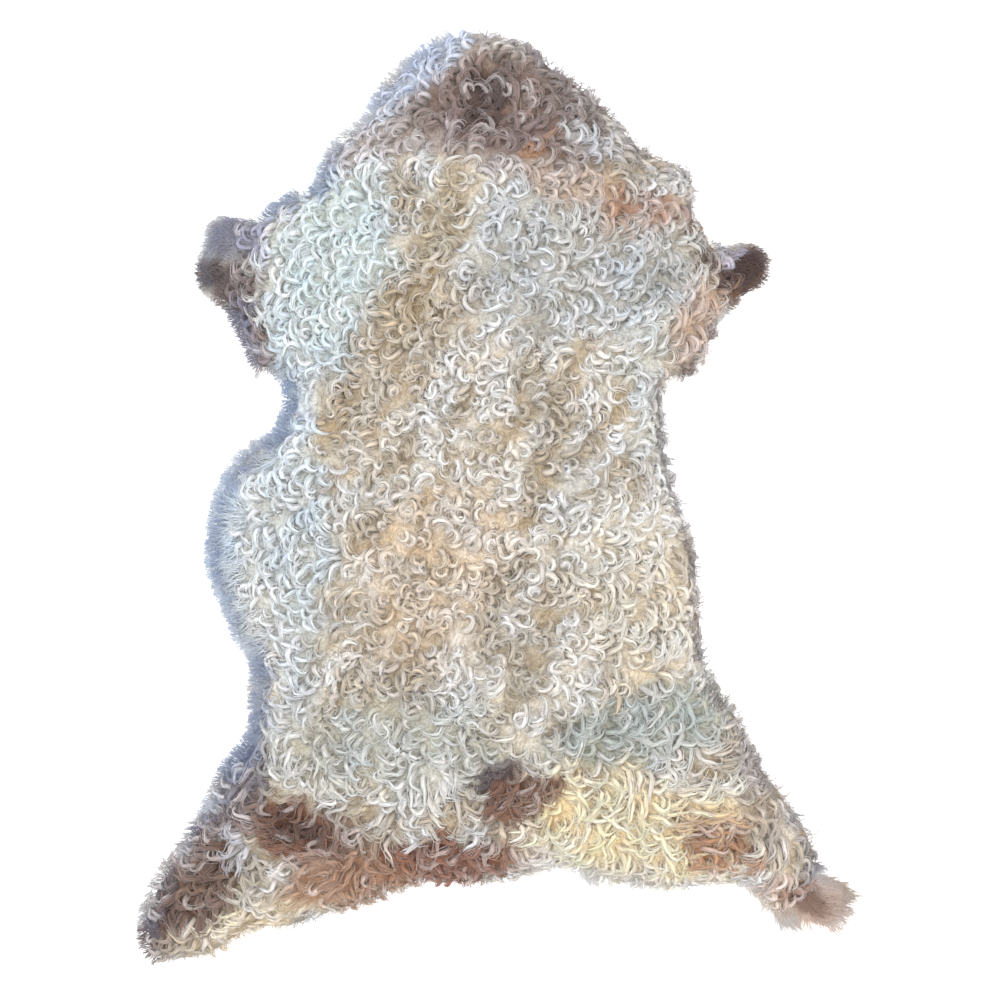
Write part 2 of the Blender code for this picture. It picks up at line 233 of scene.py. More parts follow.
# %% The fleece's markings
# Sizes are millimetres on the skin, with the neck up. turn is degrees from the X axis.
# Cream wool has tan streaks that run along STREAKS, and later patches cover earlier ones.
CREAM, TAN = "#eeedea", "#b3a388"
STREAKS = math.radians(60)
Patch = namedtuple("Patch", "name x y half_length half_width turn colour strength")
PATCHES = (
    # The cool white shoulder and flank are white wool with a painted cool tint of the window's
    # daylight.
    Patch("white shoulder, painted cool light", -166, 226, 110, 62, 80, "#e2f5ff", 0.97),
    Patch("white flank, painted cool light", -200, 0, 210, 38, 92, "#dfedf8", 0.85),
    Patch("grey white withers", 79, 236, 120, 80, 0, "#cdd5dc", 0.7),
    Patch("cool right side", 165, 110, 90, 34, 96, "#dfe8e8", 0.6),
    Patch("tan band", -114, 134, 132, 42, 66, "#c4b090", 0.6),
    Patch("tan band, upper end", -52, 256, 66, 17, 66, "#c8b795", 0.5),
    Patch("warm middle", -56, -64, 95, 75, 60, "#efd9bf", 0.55),
    # Painted cool window light on white wool.
    Patch("white left belly, painted cool light", -262, -56, 90, 40, 90, "#e8f3ff", 0.95),
    Patch("cream right flank", 140, -100, 100, 56, 100, "#f8f1e2", 0.7),
    Patch("cool white loin", -100, -246, 125, 44, 4, "#ccd2cd", 0.7),
    Patch("grey green band", 146, -231, 104, 36, 10, "#b7c3bf", 0.8),
    Patch("yellow rump", 140, -325, 132, 56, -10, "#ffeec9", 0.97),
    Patch("lilac below the neck", 0, 352, 110, 26, -6, "#a99a9c", 0.7),
    Patch("pink below the neck", 110, 300, 100, 22, -14, "#d6bcac", 0.65),
    Patch("lilac neck, left", -131, 346, 44, 22, 24, "#b3a3a8", 0.6),
    Patch("brown neck", 0, 398, 112, 54, -8, "#8a736f", 0.9),
    Patch("grey neck, right", 80, 388, 60, 24, -42, "#837876", 0.75),
    Patch("dark crown", -10, 398, 34, 20, 66, "#4d3a36", 0.8),
    Patch("dark crown, top", 8, 444, 24, 13, -30, "#6b5650", 0.7),
    # Painted cool window light on white wool.
    Patch("white neck, left, painted cool light", -72, 430, 80, 21, 41, "#c9d6ee", 0.9),
    Patch("orange brown hollow", 43, 346, 24, 9, 8, "#b98b6c", 0.75),
    Patch("cool tuft below the neck", 88, 362, 30, 12, -20, "#d8dfea", 0.8),
    Patch("pink brown shoulder", 156, 288, 44, 15, -16, "#b48a74", 0.8),
    Patch("right foreleg", 242, 223, 38, 28, -20, "#4d2f29", 0.97),
    # A painted highlight: pale lavender sheen on the short hair of the right foreleg's upper edge.
    Patch("right foreleg, painted highlight on upper edge", 236, 248, 15, 6, 0, "#d0cade", 0.9),
    Patch("right foreleg, lower edge", 230, 195, 22, 8, 32, "#b98a64", 0.85),
    Patch("left foreleg, lower", -264, 208, 30, 26, -40, "#78635f", 0.95),
    Patch("left foreleg, upper", -262, 258, 34, 20, -12, "#9b9db6", 0.95),
    Patch("left foreleg, tip", -292, 229, 18, 22, 0, "#5a4c4e", 0.92),
    Patch("behind the left foreleg", -247, 157, 38, 15, 118, "#80645d", 0.85),
    Patch("right armpit", 199, 165, 52, 26, 66, "#ccb2a3", 0.8),
    Patch("bare hide edge", 202, 268, 13, 7, -45, "#9a7040", 0.9),
    Patch("armpit spot", 190, 128, 15, 11, 0, "#66544f", 0.8),
    Patch("left haunch, upper", -266, -306, 74, 26, 60, "#6a6069", 0.9),
    Patch("left hind leg", -306, -398, 84, 40, 57, "#71503f", 0.92),
    Patch("left hind leg, tip", -336, -432, 40, 14, 84, "#5a4038", 0.8),
    Patch("left hem streaks", -234, -427, 92, 20, 20, "#f0dfc0", 0.85),
    Patch("cool tuft on the left haunch", -256, -346, 24, 14, 60, "#c6cad8", 0.75),
    Patch("left brown patch", -194, -328, 58, 30, -8, "#84563f", 0.95),
    Patch("left brown patch, core", -196, -324, 28, 12, -10, "#4a322c", 0.7),
    Patch("brown hem", -70, -365, 100, 30, 4, "#8b5439", 0.95),
    Patch("light brown hem", -150, -380, 62, 30, 8, "#b58c70", 0.9),
    Patch("dark patch over the rump", 9, -283, 30, 26, 60, "#54464b", 0.95),
    Patch("brown patch over the rump", 29, -303, 42, 18, 22, "#85604f", 0.92),
    Patch("right haunch", 222, -343, 50, 24, -24, "#a97a5c", 0.88),
    Patch("grey haunch", 256, -300, 52, 20, -58, "#a1938c", 0.75),
    Patch("right hind foot", 314, -409, 50, 34, -20, "#e0c3b4", 0.92),
    Patch("right hind foot, brown", 312, -402, 32, 13, -28, "#8d6857", 0.8),
    Patch("right hind foot, pale tag", 287, -426, 12, 9, 60, "#dcd6d2", 0.8),
)
print("markings:", len(PATCHES))

# %% [markdown]
# Two more things vary the colour. Slow noise makes it warmer here and cooler there, and a
# painted shade darkens the thin wool of the rim, bluish on the left and grey on the right, which
# fades at the hem, the neck's left side, the left hind leg and the short-haired legs.

# %% The wool's colour at any place
# Painted shade for the rim's thin wool, which falls away from the light: bluish on the left, grey on
# the right.
LEFT_RIM_SHADE, RIGHT_RIM_SHADE = "#7287b0", "#7d7981"
WARMTH = (0.05, 0.0, -0.08)
LOOK_IN = 20 * MM
LOW_WOOL_TOP, TALL_WOOL_TOP = 12, 20
NECK_FROM, NECK_OVER = 300, 80
HIND_FROM, HIND_OVER = -260, 40


def inward(x, y):
    """The way in from the edge at each place, as its X and Y."""
    return looked_up(slope[0], x, y), looked_up(slope[1], x, y)


def tallness(x, y):
    """How tall the wool is a little in from each place: 0 on the legs, 1 on the body."""
    in_x, in_y = inward(x, y)
    x, y = x + in_x * LOOK_IN, y + in_y * LOOK_IN
    return eased((looked_up(wool_top, x, y) / MM - LOW_WOOL_TOP) / (TALL_WOOL_TOP - LOW_WOOL_TOP))


def wobbled(value, x, y, seed):
    """A coordinate pushed about by coarse and fine noise, which roughens the patches' edges."""
    return value + cloud(x, y, 26 * MM, seed) * 12 * MM + cloud(x, y, 10 * MM, seed + 1) * 6 * MM


def wool_colour(x, y):
    """The linear colour of the wool at each place, with painted shade at its rim."""
    wobble_x, wobble_y = wobbled(x, x, y, 1), wobbled(y, x, y, 3)
    colour = np.tile(linear(CREAM), (len(x), 1))
    along_streak = (x * math.cos(STREAKS) + y * math.sin(STREAKS)) * 0.45
    across_streak = y * math.cos(STREAKS) - x * math.sin(STREAKS)
    streaks = cloud(along_streak, across_streak, 19 * MM, 5)
    mottle = eased(0.42 + 1.3 * streaks + 0.5 * cloud(x, y, 12 * MM, 6))
    edge = looked_up(depth, x, y) + cloud(x, y, 9 * MM, 8) * 8 * MM
    in_x, in_y = inward(x, y)
    left = eased(0.5 + in_x)
    mottle = mottle * (1 - 0.8 * left * eased(1.5 - edge / (40 * MM)))
    colour = toward(colour, linear(TAN), 0.75 * mottle)
    for patch in PATCHES:
        turn = math.radians(patch.turn)
        dx, dy = wobble_x - patch.x * MM, wobble_y - patch.y * MM
        long = (dx * math.cos(turn) + dy * math.sin(turn)) / (patch.half_length * MM)
        wide = (dy * math.cos(turn) - dx * math.sin(turn)) / (patch.half_width * MM)
        share = patch.strength * eased(1.9 - 1.45 * np.hypot(long, wide))
        colour = toward(colour, linear(patch.colour), share)
    colour *= 1 + cloud(x, y, 24 * MM, 9)[:, None] * WARMTH
    # The rim's painted shade, mixed in near the edge and faded where the wool is low.
    rim_shade = linear(LEFT_RIM_SHADE) * left[:, None] + linear(RIGHT_RIM_SHADE) * (1 - left[:, None])
    below = eased(in_y * 1.4 - 0.2)
    neck = eased((y / MM - NECK_FROM) / NECK_OVER)
    hind = eased((HIND_FROM - y / MM) / HIND_OVER)
    share = (0.9 - 0.65 * below - left * (0.6 * neck + 0.5 * hind)) * (0.25 + 0.75 * tallness(x, y))
    patchy = 0.78 + 0.22 * cloud(x, y, 6 * MM, 10)
    rim_shade_share = eased(1.2 - edge / ((11 + 9 * left) * MM))
    return toward(colour, rim_shade, np.maximum(share, 0) * patchy * rim_shade_share)


print("colour at the middle:", wool_colour(np.zeros(1), np.zeros(1)).round(2))

# %% [markdown]
# Under the curls lies a bed of soft underwool. It starts as a grid, keeps the part inside the
# edge, takes its heights from the map and gets small lumps. Its edge is drawn down to the hide
# and closed below, so that it is one solid cushion of wool and not a sheet with a hollow side.

# %% The bed of underwool
BED_STEP = 4.0 * MM
BED_BELOW_TOP = 5 * MM
BED_INSET, LEG_INSET = 4 * MM, 0.2 * MM
LOW_WOOL = 13 * MM
BED_FLOOR = 2.6 * MM
RIM_SMOOTHING = 6


def bed_height(x, y):
    """The bed's top: a little under the fleece's, with coarse and fine lumps."""
    top = looked_up(wool_top, x, y)
    lumps = cloud(x, y, 13 * MM, 11) * 1.4 * MM + cloud(x, y, 6 * MM, 12) * 1.2 * MM
    sunk = np.minimum(BED_BELOW_TOP, top * 0.3)
    return np.maximum(BED_FLOOR + 1 * MM, top - sunk + lumps * np.clip(top / (30 * MM), 0.25, 1))


def trimmed_grid():
    """A flat grid cut to the wool's outline, with its stepped rim smoothed."""
    low, high = np.array(cad_box[0][:2]), np.array(cad_box[1][:2])
    columns, rows = ((high - low) / BED_STEP).astype(int)
    shape = bmesh.new()
    bmesh.ops.create_grid(shape, x_segments=int(columns), y_segments=int(rows), size=0.5)
    bmesh.ops.scale(shape, vec=(*(high - low), 1), verts=shape.verts)
    bmesh.ops.translate(shape, vec=(*((low + high) / 2), 0), verts=shape.verts)
    at = np.array([v.co.xy for v in shape.verts])
    inset = np.where(looked_up(wool_top, at[:, 0], at[:, 1]) < LOW_WOOL, LEG_INSET, BED_INSET)
    kept = looked_up(depth, at[:, 0], at[:, 1]) > inset
    gone = [vert for vert, keep in zip(shape.verts, kept) if not keep]
    bmesh.ops.delete(shape, geom=gone, context="VERTS")
    loose = [vert for vert in shape.verts if len(vert.link_faces) == 0]
    bmesh.ops.delete(shape, geom=loose, context="VERTS")
    for _ in range(RIM_SMOOTHING):
        stepped = [vert for vert in shape.verts if vert.is_boundary]
        bmesh.ops.smooth_vert(shape, verts=stepped, factor=0.5, use_axis_x=True, use_axis_y=True)
    return shape


def woolly_piece(name, mesh):
    """Puts a mesh of wool in the scene, riding with the skin."""
    piece = bpy.data.objects.new(name, mesh)
    bpy.context.scene.collection.objects.link(piece)
    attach(piece, "root")
    return piece


bed_shape = trimmed_grid()
bed_edge = [edge for edge in bed_shape.edges if edge.is_boundary]
at = np.array([v.co.xy for v in bed_shape.verts])
for vert, height in zip(bed_shape.verts, bed_height(at[:, 0], at[:, 1])):
    vert.co.z = height
skirt = bmesh.ops.extrude_edge_only(bed_shape, edges=bed_edge)["geom"]
for vert in (item for item in skirt if isinstance(item, bmesh.types.BMVert)):
    vert.co.z = BED_FLOOR
lower = [e for e in skirt if isinstance(e, bmesh.types.BMEdge) and e.is_boundary]
bmesh.ops.holes_fill(bed_shape, edges=lower)
bmesh.ops.recalc_face_normals(bed_shape, faces=bed_shape.faces)
for face in bed_shape.faces:
    face.smooth = len(face.verts) == 4
bed_mesh = bpy.data.meshes.new("wool_bed")
bed_shape.to_mesh(bed_mesh)
bed_shape.free()
wool_bed = woolly_piece("wool_bed", bed_mesh)
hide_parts("fleece")
print("wool bed:", len(bed_mesh.polygons), "faces")

# %% Colour for the bed
# BED_SHADE is painted shade: the bed lies deep under the curls.
BED_SHADE = (0.80, 0.77, 0.72)


def keep_colour(mesh, colours):
    """Stores a colour for each point, which the wool's material reads."""
    layer = mesh.color_attributes.new("wool_colour_and_shade", "FLOAT_COLOR", "POINT")
    rgba = np.concatenate([np.clip(colours, 0, 1), np.ones((len(colours), 1))], axis=1)
    layer.data.foreach_set("color", rgba.astype(np.float32).ravel())


points = np.array([v.co for v in bed_mesh.vertices])
colour_and_shade = wool_colour(points[:, 0], points[:, 1]) * BED_SHADE
colour_and_shade *= (1 + 0.1 * cloud(points[:, 0], points[:, 1], 6 * MM, 21))[:, None]
keep_colour(bed_mesh, colour_and_shade)

# %% [markdown]
# Now the wool itself. A lock is a bundle of fibres that leave the skin side by side, draw
# together and curl over at their tips like a clock spring. Each strand's path is a heading that
# turns faster and faster towards the tip, and small steps along that heading draw it. Arrays
# draw thousands of paths at once. Blender's own hair would be the usual way, but real meshes
# travel to other programs, so each path becomes a thin closed tube that tapers.

# %% Drawing many paths at once
# lift and tip are a strand's heights over the wool's surface, at its PEAK and at its end. Roots
# start below the surface, low wool scales it all down, and nothing sinks into the hide.
Strands = namedtuple("Strands", "x y heading turn wave waves phase length width lift tip colour")
ROOT_SINK = -8 * MM
PEAK = 0.38
FULL_WOOL = 36 * MM
LEAST_SCALE = 0.15
CROWDING = 0.75
TINY = 1e-12


def along_strand(steps):
    """Where the points of a strand lie from root to tip, closer together where it curls more."""
    return np.linspace(0, 1, steps) ** CROWDING


def strand_paths(strands, steps, spring):
    """The points of each strand, as an array of strands by points by X, Y and Z."""
    share = along_strand(steps)[None, :]
    column = {name: getattr(strands, name)[:, None]
              for name in strands._fields if name != "colour"}
    heading = (column["heading"] + column["turn"] * share ** spring
               + column["wave"] * np.sin(2 * np.pi * (column["waves"] * share + column["phase"])))
    step = column["length"] * np.diff(share)
    middle = (heading[:, 1:] + heading[:, :-1]) / 2
    zero = np.zeros((len(strands.x), 1))
    x = column["x"] + np.concatenate([zero, np.cumsum(np.cos(middle) * step, axis=1)], axis=1)
    y = column["y"] + np.concatenate([zero, np.cumsum(np.sin(middle) * step, axis=1)], axis=1)
    top = looked_up(wool_top, x, y)
    scale = np.clip(looked_up(wool_top, column["x"], column["y"]) / FULL_WOOL, LEAST_SCALE, 1)
    rising = ROOT_SINK + (column["lift"] - ROOT_SINK) * eased(share / PEAK)
    falling = column["lift"] + (column["tip"] - column["lift"]) * eased((share - PEAK) / (1 - PEAK))
    z = top + np.where(share < PEAK, rising, falling) * scale
    lowest = column["width"] * 0.6 + HIDE_TOP * eased(2 * looked_up(over_hide, x, y))
    return np.stack([x, y, np.maximum(z, lowest)], axis=-1)


def directions(paths):
    """The way across each strand and the way up from it, at each of its points."""
    forward = np.gradient(paths, axis=1)
    forward /= np.linalg.norm(forward, axis=2, keepdims=True) + TINY
    side = np.cross(forward, [0, 0, 1])
    side /= np.linalg.norm(side, axis=2, keepdims=True) + TINY
    return side, np.cross(side, forward)


# %% Turning paths into closed tubes
# A taper is the share of its width that a tube loses on the way to its tip, and how late.
Tubes = namedtuple("Tubes", "paths widths colours sides flatness taper")
CELL_EDGE = 0.08


def tube_corners(tubes):
    """The points of each tube's rings, as tubes by steps by sides by X, Y and Z."""
    side, above = directions(tubes.paths)
    loss, power = tubes.taper
    profile = 1 - loss * along_strand(tubes.paths.shape[1]) ** power
    radius = (tubes.widths[:, None] / 2 * profile[None, :])[..., None]
    angles = np.pi / 2 + np.arange(tubes.sides) * 2 * np.pi / tubes.sides
    return np.stack([tubes.paths + radius * (side * math.cos(a) + above * math.sin(a) * tubes.flatness)
                     for a in angles], axis=2)


def tube_faces(count, steps, sides, first):
    """The point numbers round each face, and each face's size."""
    ring = first + np.arange(count * steps).reshape(count, steps)[:, :-1, None] * sides
    corner = np.arange(sides)[None, None, :]
    after = (corner + 1) % sides
    quads = np.stack([ring + corner, ring + after, ring + sides + after, ring + sides + corner], -1)
    root = first + np.arange(count)[:, None] * steps * sides
    around = np.arange(sides)
    caps = np.concatenate([root + around[::-1], root + (steps - 1) * sides + around])
    return (np.concatenate([quads.ravel(), caps.ravel()]),
            np.concatenate([np.full(quads.size // 4, 4), np.full(len(caps), sides)]))


def tube_cells(count, steps, sides, cell, across):
    """A place on the UV map for each face corner: each tube has a cell, U along it and V round it."""
    strand, step, corner = np.meshgrid(np.arange(count), np.arange(steps - 1), np.arange(sides),
                                       indexing="ij")
    along_u = np.stack([step, step, step + 1, step + 1], -1) / (steps - 1)
    round_v = np.stack([corner, corner + 1, corner + 1, corner], -1) / sides
    strand = np.repeat(strand[..., None], 4, axis=-1)
    cap = np.repeat(np.arange(count), sides)
    strand = np.concatenate([strand.ravel(), cap, cap]) + cell
    along_u = np.concatenate([along_u.ravel(), cap * 0.0, cap * 0.0 + 1])
    round_v = np.concatenate([round_v.ravel(), np.tile(np.arange(sides) / sides, count * 2)])
    inside = 1 - 2 * CELL_EDGE
    u = (strand % across + CELL_EDGE + inside * along_u) / across
    v = (strand // across + CELL_EDGE + inside * round_v) / across
    return np.stack([u, v], axis=-1)


def tube_mesh(name, groups, shades):
    """One mesh of several groups of tubes. shades gives the painted light and shade along a strand."""
    across = math.ceil(math.sqrt(sum(len(tubes.paths) for tubes in groups)))
    corners, loops, sizes, colours_and_shades, cells, first, cell = [], [], [], [], [], 0, 0
    for tubes in groups:
        count, steps, _ = tubes.paths.shape
        corners.append(tube_corners(tubes).reshape(-1, 3))
        faces, face_sizes = tube_faces(count, steps, tubes.sides, first)
        loops.append(faces)
        sizes.append(face_sizes)
        light = shades(along_strand(steps))[None, :, None, :]
        colour_and_shade = np.broadcast_to(tubes.colours[:, None, None, :] * light, (count, steps, tubes.sides, 3))
        colours_and_shades.append(colour_and_shade.reshape(-1, 3))
        cells.append(tube_cells(count, steps, tubes.sides, cell, across))
        first, cell = first + count * steps * tubes.sides, cell + count
    loops, sizes = np.concatenate(loops), np.concatenate(sizes)
    mesh = bpy.data.meshes.new(name)
    mesh.vertices.add(first)
    mesh.vertices.foreach_set("co", np.concatenate(corners).astype(np.float32).ravel())
    mesh.loops.add(len(loops))
    mesh.loops.foreach_set("vertex_index", loops.astype(np.int32))
    mesh.polygons.add(len(sizes))
    mesh.polygons.foreach_set("loop_start", (np.cumsum(sizes) - sizes).astype(np.int32))
    mesh.update(calc_edges=True)
    mesh.polygons.foreach_set("use_smooth", np.ones(len(sizes), dtype=bool))
    keep_colour(mesh, np.concatenate(colours_and_shades))
    layer = mesh.uv_layers.new(name="OFBake")
    layer.data.foreach_set("uv", np.concatenate(cells).astype(np.float32).ravel())
    return mesh


# %% [markdown]
# The wool doesn't grow the same way all over. Near the edge it lies outwards, over the rump it
# hangs down in waves, on the belly's side it is a soft straight fuzz, and on the back it twists
# into rings that point anywhere. Two short tables say so, and each place blends the rows near it.

# %% Which way the wool lies, and how it curls
Flow = namedtuple("Flow", "name x y reach toward")
FLOWS = (
    Flow("neck, left", -70, 410, 60, 150),
    Flow("neck, right", 70, 400, 60, 20),
    Flow("left shoulder", -170, 230, 70, 200),
    Flow("right shoulder", 140, 270, 70, -10),
    Flow("left flank", -215, -60, 60, 185),
    Flow("right flank", 165, -60, 70, -25),
    Flow("right haunch", 220, -270, 90, -38),
    Flow("rump, right", 130, -345, 70, -70),
    Flow("rump, middle", -40, -345, 70, -95),
    Flow("left hind leg", -250, -380, 110, -135),
    Flow("left foreleg", -275, 225, 40, 190),
    Flow("right foreleg", 250, 226, 40, 15),
    Flow("right hind foot", 312, -410, 40, -30),
)
Look = namedtuple("Look", "name x y reach curl length")
LOOKS = (
    Look("neck", -6, 395, 80, 0.85, 31),
    Look("left shoulder", -175, 230, 60, 0.8, 32),
    Look("right flank", 190, -110, 60, 0.7, 33),
    Look("right haunch", 240, -290, 85, 0.5, 42),
    Look("rump, right", 140, -355, 80, 0.4, 40),
    Look("rump, middle", -50, -365, 65, 0.45, 37),
    Look("left hind leg", -270, -390, 115, 0.3, 36),
    Look("left belly", -268, -60, 48, 0.3, 24),
    Look("left brown patch", -196, -335, 36, 0.15, 22),
    Look("brown hem", -80, -375, 44, 0.15, 24),
    Look("patch over the rump", 18, -290, 28, 0.4, 24),
    Look("right armpit", 192, 158, 40, 0.5, 30),
)
BACK_CURL, BACK_LENGTH, BACK_SHARE = 1.0, 28, 0.35
STRAY, DRIFT, FLOW_PULL = 0.3, 0.55, 1.4
EDGE_PULL, EDGE_WIDTH = 1.8, 18 * MM


def nearness(row, x, y):
    """How much a row counts at each place: 1 at its middle, fading over its reach."""
    return np.exp(-((x - row.x * MM) ** 2 + (y - row.y * MM) ** 2) / (2 * (row.reach * MM) ** 2))


def lie_of_wool(x, y, chance):
    """The heading of the wool at each place, in radians."""
    stray = chance.uniform(-np.pi, np.pi, len(x))
    drift = cloud(x, y, 38 * MM, 31) * 2 * np.pi
    east = STRAY * np.cos(stray) + DRIFT * np.cos(drift)
    north = STRAY * np.sin(stray) + DRIFT * np.sin(drift)
    for row in FLOWS:
        pull = FLOW_PULL * nearness(row, x, y)
        east = east + pull * math.cos(math.radians(row.toward))
        north = north + pull * math.sin(math.radians(row.toward))
    edge = EDGE_PULL * np.exp(-np.maximum(looked_up(depth, x, y), 0) / EDGE_WIDTH)
    edge = edge * (0.35 + 0.65 * tallness(x, y))
    in_x, in_y = inward(x, y)
    return np.arctan2(north - edge * in_y, east - edge * in_x)


def look_of_wool(x, y):
    """How curly the wool is at each place, from 0 to 1, and how long in millimetres."""
    total, curl, length = BACK_SHARE, BACK_SHARE * BACK_CURL, BACK_SHARE * BACK_LENGTH
    for row in LOOKS:
        near = nearness(row, x, y)
        total, curl, length = total + near, curl + near * row.curl, length + near * row.length
    return curl / total, length / total


print("flows:", len(FLOWS), "looks:", len(LOOKS))

# %% Planting locks
# A lock has the colour of the place where it shows, SEEN_AT of its length from its root, and
# PALE_SHARE of the locks are paler than the rest.
LOCK_PITCH = 10.7 * MM
ROW_SPACING, JITTER = 0.87, 0.4
SEEN_AT = 0.4
PALE_TIP = "#f3edee"
PALE_LOCK, PALE_SHARE = 0.35, 0.2
LONGEST_AT_RIM, LONGER_INSIDE = 9 * MM, 0.8


def planted(pitch, least_depth, chance):
    """Places at about an even spacing on the skin, none in line."""
    low, high = np.array(cad_box[0][:2]), np.array(cad_box[1][:2])
    rows = np.arange(low[1], high[1], pitch * ROW_SPACING)
    columns = np.arange(low[0], high[0], pitch)
    x, y = np.meshgrid(columns, rows)
    x = x + (np.arange(len(rows)) % 2 * pitch / 2)[:, None]
    x, y = x.ravel(), y.ravel()
    x = x + chance.uniform(-JITTER, JITTER, len(x)) * pitch
    y = y + chance.uniform(-JITTER, JITTER, len(y)) * pitch
    kept = looked_up(depth, x, y) > least_depth
    return x[kept], y[kept]


def spread(chance, values, share):
    """Each value with an uneven share more or less."""
    return values * (1 + chance.uniform(-share, share, len(values)))


def short_at_rim(x, y):
    """The longest that wool may be here without standing out past the fleece's outline."""
    return LONGEST_AT_RIM + LONGER_INSIDE * np.maximum(looked_up(depth, x, y), 0)


# %% A lock's own path, and its strands
# A lock is a broad flat body with thin strands on it, which stand highest in its middle.
LOCK_CROWN = 1.4 * MM
DRAWN_TOGETHER = 0.5
BODY_WIDTH = 8 * MM
STRAND_WIDTH = 0.95 * MM


def locks_at(x, y, chance):
    """The middle path of a curled lock at each of these places."""
    count = len(x)
    curl, length = look_of_wool(x, y)
    heading = lie_of_wool(x, y, chance)
    seen_x = x + SEEN_AT * length * MM * np.cos(heading)
    seen_y = y + SEEN_AT * length * MM * np.sin(heading)
    alone = 0.2 + 0.8 * curl
    hand = np.where(cloud(x, y, 40 * MM, 32) + 0.9 * alone * chance.uniform(-1, 1, count) < 0, -1, 1)
    curled = np.radians(chance.uniform(110, 330, count))
    open_bend = np.radians(chance.uniform(10, 90, count))
    tuft = cloud(x, y, 26 * MM, 33) * 2.6 * MM
    phase = cloud(x, y, 50 * MM, 36) + alone * chance.random(count)
    pale = PALE_LOCK * (chance.random(count) < PALE_SHARE)
    colour = toward(wool_colour(seen_x, seen_y), linear(PALE_TIP), pale)
    colour = colour * (1 + chance.uniform(-0.08, 0.06, count))[:, None]
    return Strands(
        x=x, y=y, heading=heading,
        turn=hand * (curled * curl + open_bend * (1 - curl)),
        wave=np.radians(50 - 34 * curl), waves=1.35 + 0.5 * alone * chance.uniform(-1, 1, count),
        phase=phase, width=spread(chance, BODY_WIDTH * (0.8 + 0.2 * curl), 0.25),
        length=np.minimum(spread(chance, length * MM, 0.3), short_at_rim(x, y)),
        lift=chance.uniform(0, 2.8, count) * MM + tuft,
        tip=chance.uniform(-1.5, 2.8, count) * MM + tuft,
        colour=colour,
    )


def strands_of(locks, strands, radius, uneven, chance):
    """The strands of each lock: rooted round its middle, much alike, none quite the same."""
    owner = np.repeat(np.arange(len(locks.x)), strands)
    own = Strands(*(getattr(locks, name)[owner] for name in locks._fields))
    angle = chance.uniform(0, 2 * np.pi, len(owner))
    out = radius * np.sqrt(chance.random(len(owner)))
    x, y = own.x + out * np.cos(angle), own.y + out * np.sin(angle)
    dome = (1 - (out / radius) ** 2) * LOCK_CROWN
    pale = 0.6 * chance.random(len(owner))[:, None] ** 2 * own.colour.mean(axis=1, keepdims=True)
    return owner, own._replace(
        x=x, y=y, heading=own.heading + chance.normal(0, uneven, len(owner)),
        turn=own.turn * (1 + chance.normal(0, uneven, len(owner))),
        phase=own.phase + chance.normal(0, 0.06, len(owner)),
        length=spread(chance, own.length, 0.2),
        width=spread(chance, np.full(len(owner), STRAND_WIDTH), 0.3),
        lift=own.lift + dome + chance.uniform(-0.6, 0.6, len(owner)) * MM,
        tip=own.tip + 0.6 * dome + chance.uniform(-1.2, 1.5, len(owner)) * MM,
        colour=own.colour * (1 - pale) + linear(PALE_TIP) * pale,
    )


def drawn_together(paths, middles, owner):
    """Strands pulled towards the middle of their lock, most of all near its tip."""
    share = along_strand(paths.shape[1])[None, :, None]
    pull = DRAWN_TOGETHER * eased(share * 1.3) * (1 - 0.25 * share)
    return paths + (middles[owner] - paths) * pull


# %% [markdown]
# One mesh of all the curls would be too heavy to handle, so the skin is worked in five bands,
# from the neck to the rump, as a knitter works a blanket in strips. The bands meet inside the
# wool, where no seam can show.

# %% The curls, band by band
# Bands are millimetres up the skin, and short-haired legs are circles with their hair's length,
# in millimetres too.
LOCK_STRANDS = 4
LOCK_RADIUS = 5 * MM
BODY_LENGTH, BODY_TURN, BODY_SHADE = 0.9, 0.9, 0.96
BODY_SUNK = 0.8 * MM
BODY_TAPER, STRAND_TAPER = (0.82, 1.4), (0.6, 1.3)
STRAND_STRAY = 0.14
SPRING = 1.6
CURLS_FROM = 8 * MM
# Painted light along every strand: ROOT_SHADE darkens and warms its root, partly the wool's own tan and
# partly painted shade, and TIP_LIGHT paints a highlight towards its tip.
ROOT_SHADE = (0.89, 0.85, 0.80)
TIP_LIGHT = 1.16
Band = namedtuple("Band", "name lowest highest steps seed")
BANDS = (
    Band("curls_neck", 245, 500, 7, 41),
    Band("curls_shoulders", 85, 245, 7, 42),
    Band("curls_back", -90, 85, 7, 43),
    Band("curls_flanks", -250, -90, 7, 44),
    Band("curls_rump", -500, -250, 8, 45),
)
Bulge = namedtuple("Bulge", "x y reach")
BELLY = Bulge(-265, -60, 100)
Leg = namedtuple("Leg", "name x y reach hair")
SHORT_HAIRED = (
    Leg("left foreleg", -272, 228, 58, 6),
    Leg("behind the left foreleg", -255, 160, 34, 6),
    Leg("right foreleg", 250, 226, 46, 6),
    Leg("right hind foot", 316, -412, 46, 15),
)
SHORT_HAIR_TOP = 14.5 * MM


def wool_shades(share):
    """The painted light along a strand: darker and warmer at its root, partly the wool's own tan and
    partly painted shade, with a painted highlight at its tip.
    """
    root = np.array(ROOT_SHADE)
    return root + (TIP_LIGHT - root) * eased(share * 1.5)[:, None]


def hair_length(x, y):
    """The length of the short hair at each place, 0 where there is curly wool."""
    length = np.zeros(len(x))
    for leg in SHORT_HAIRED:
        near = np.hypot(x - leg.x * MM, y - leg.y * MM) < leg.reach * MM
        length[near] = leg.hair * MM
    return np.where(looked_up(wool_top, x, y) < SHORT_HAIR_TOP, length, 0)


def triangles_in(mesh):
    """How many triangles a mesh has."""
    mesh.calc_loop_triangles()
    return len(mesh.loop_triangles)


def straight_haired(x, y):
    """Whether each place is in the straight fur of the left edge, widest on the belly's bulge."""
    left = inward(x, y)[0] > 0.35
    width = (8 + 34 * nearness(BELLY, x, y) + 7 * cloud(x, y, 9 * MM, 34)) * MM
    return left & (looked_up(depth, x, y) < width) & (hair_length(x, y) == 0)


